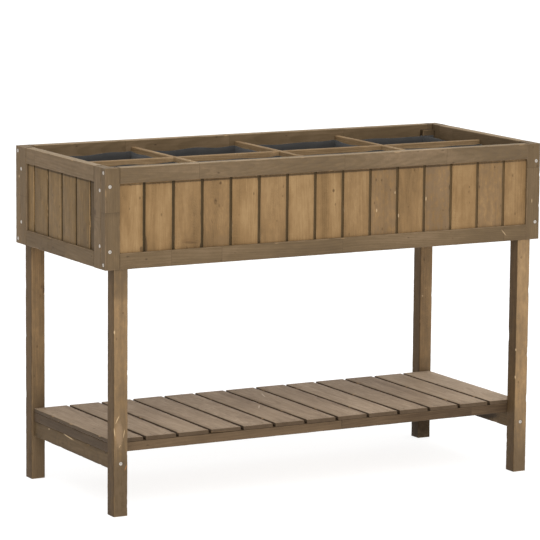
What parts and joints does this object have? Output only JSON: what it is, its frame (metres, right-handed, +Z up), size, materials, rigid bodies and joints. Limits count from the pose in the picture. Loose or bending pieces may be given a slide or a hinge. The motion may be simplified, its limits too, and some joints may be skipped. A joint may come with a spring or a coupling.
{
  "type": "herb planter stand",
  "caption": "Raised wooden herb planter: a panelled box with lined pockets on square legs, with a slatted shelf below.",
  "frame": {"origin": "on the ground, in the middle of the stand", "axes": "+X along the length, to the right seen from the front; +Y from the front to the rear; +Z up"},
  "size_m": [1.1, 0.46, 0.76],
  "materials": {
    "frame_wood": "brown wood stain, matt, open grain",
    "board_wood": "golden brown wood stain, matt, sawn grain and pin knots",
    "end_board_wood": "brown wood stain, matt",
    "leg_wood": "brown wood stain, matt, scuffed",
    "shelf_wood": "thin greyish brown wood stain, matt",
    "inner_wood": "thin brown wood stain, matt",
    "liner": "black non-woven felt",
    "zinc": "zinc plated"
  },
  "bodies": {
    "root": {"leg_front_left": "leg_wood", "leg_front_right": "leg_wood", "leg_rear_left": "leg_wood", "leg_rear_right": "leg_wood", "front_top_rail": "frame_wood", "front_bottom_rail": "frame_wood", "front_stile_1": "frame_wood", "front_stile_2": "frame_wood", "front_boards": "board_wood", "rear_top_rail": "frame_wood", "rear_bottom_rail": "frame_wood", "rear_stile_1": "frame_wood", "rear_stile_2": "frame_wood", "rear_boards": "board_wood", "left_top_rail": "frame_wood", "left_bottom_rail": "frame_wood", "left_stile_1": "frame_wood", "left_stile_2": "frame_wood", "left_boards": "end_board_wood", "right_top_rail": "frame_wood", "right_bottom_rail": "frame_wood", "right_stile_1": "frame_wood", "right_stile_2": "frame_wood", "right_boards": "end_board_wood", "stretcher_left": "leg_wood", "stretcher_right": "leg_wood", "shelf_rail_front": "shelf_wood", "shelf_rail_rear": "shelf_wood", "shelf_batten_left": "shelf_wood", "shelf_batten_right": "shelf_wood", "shelf_slat_1": "shelf_wood", "shelf_slat_2": "shelf_wood", "shelf_slat_3": "shelf_wood", "shelf_slat_4": "shelf_wood", "shelf_slat_5": "shelf_wood", "shelf_slat_6": "shelf_wood", "shelf_slat_7": "shelf_wood", "shelf_slat_8": "shelf_wood", "shelf_slat_9": "shelf_wood", "shelf_slat_10": "shelf_wood", "shelf_slat_11": "shelf_wood", "shelf_slat_12": "shelf_wood", "shelf_slat_13": "shelf_wood", "cleat_front": "inner_wood", "cleat_rear": "inner_wood", "floor_boards": "inner_wood", "divider_long": "inner_wood", "divider_cross_1": "inner_wood", "divider_cross_2": "inner_wood", "divider_cross_3": "inner_wood", "pocket_liners": "liner", "rail_screws": "zinc", "face_screws": "zinc", "corner_screws": "zinc", "leg_screws": "zinc", "cleat_screws": "zinc", "shelf_screws": "zinc", "shelf_nails": "zinc", "floor_nails": "zinc"}
  },
  "joints": []
}
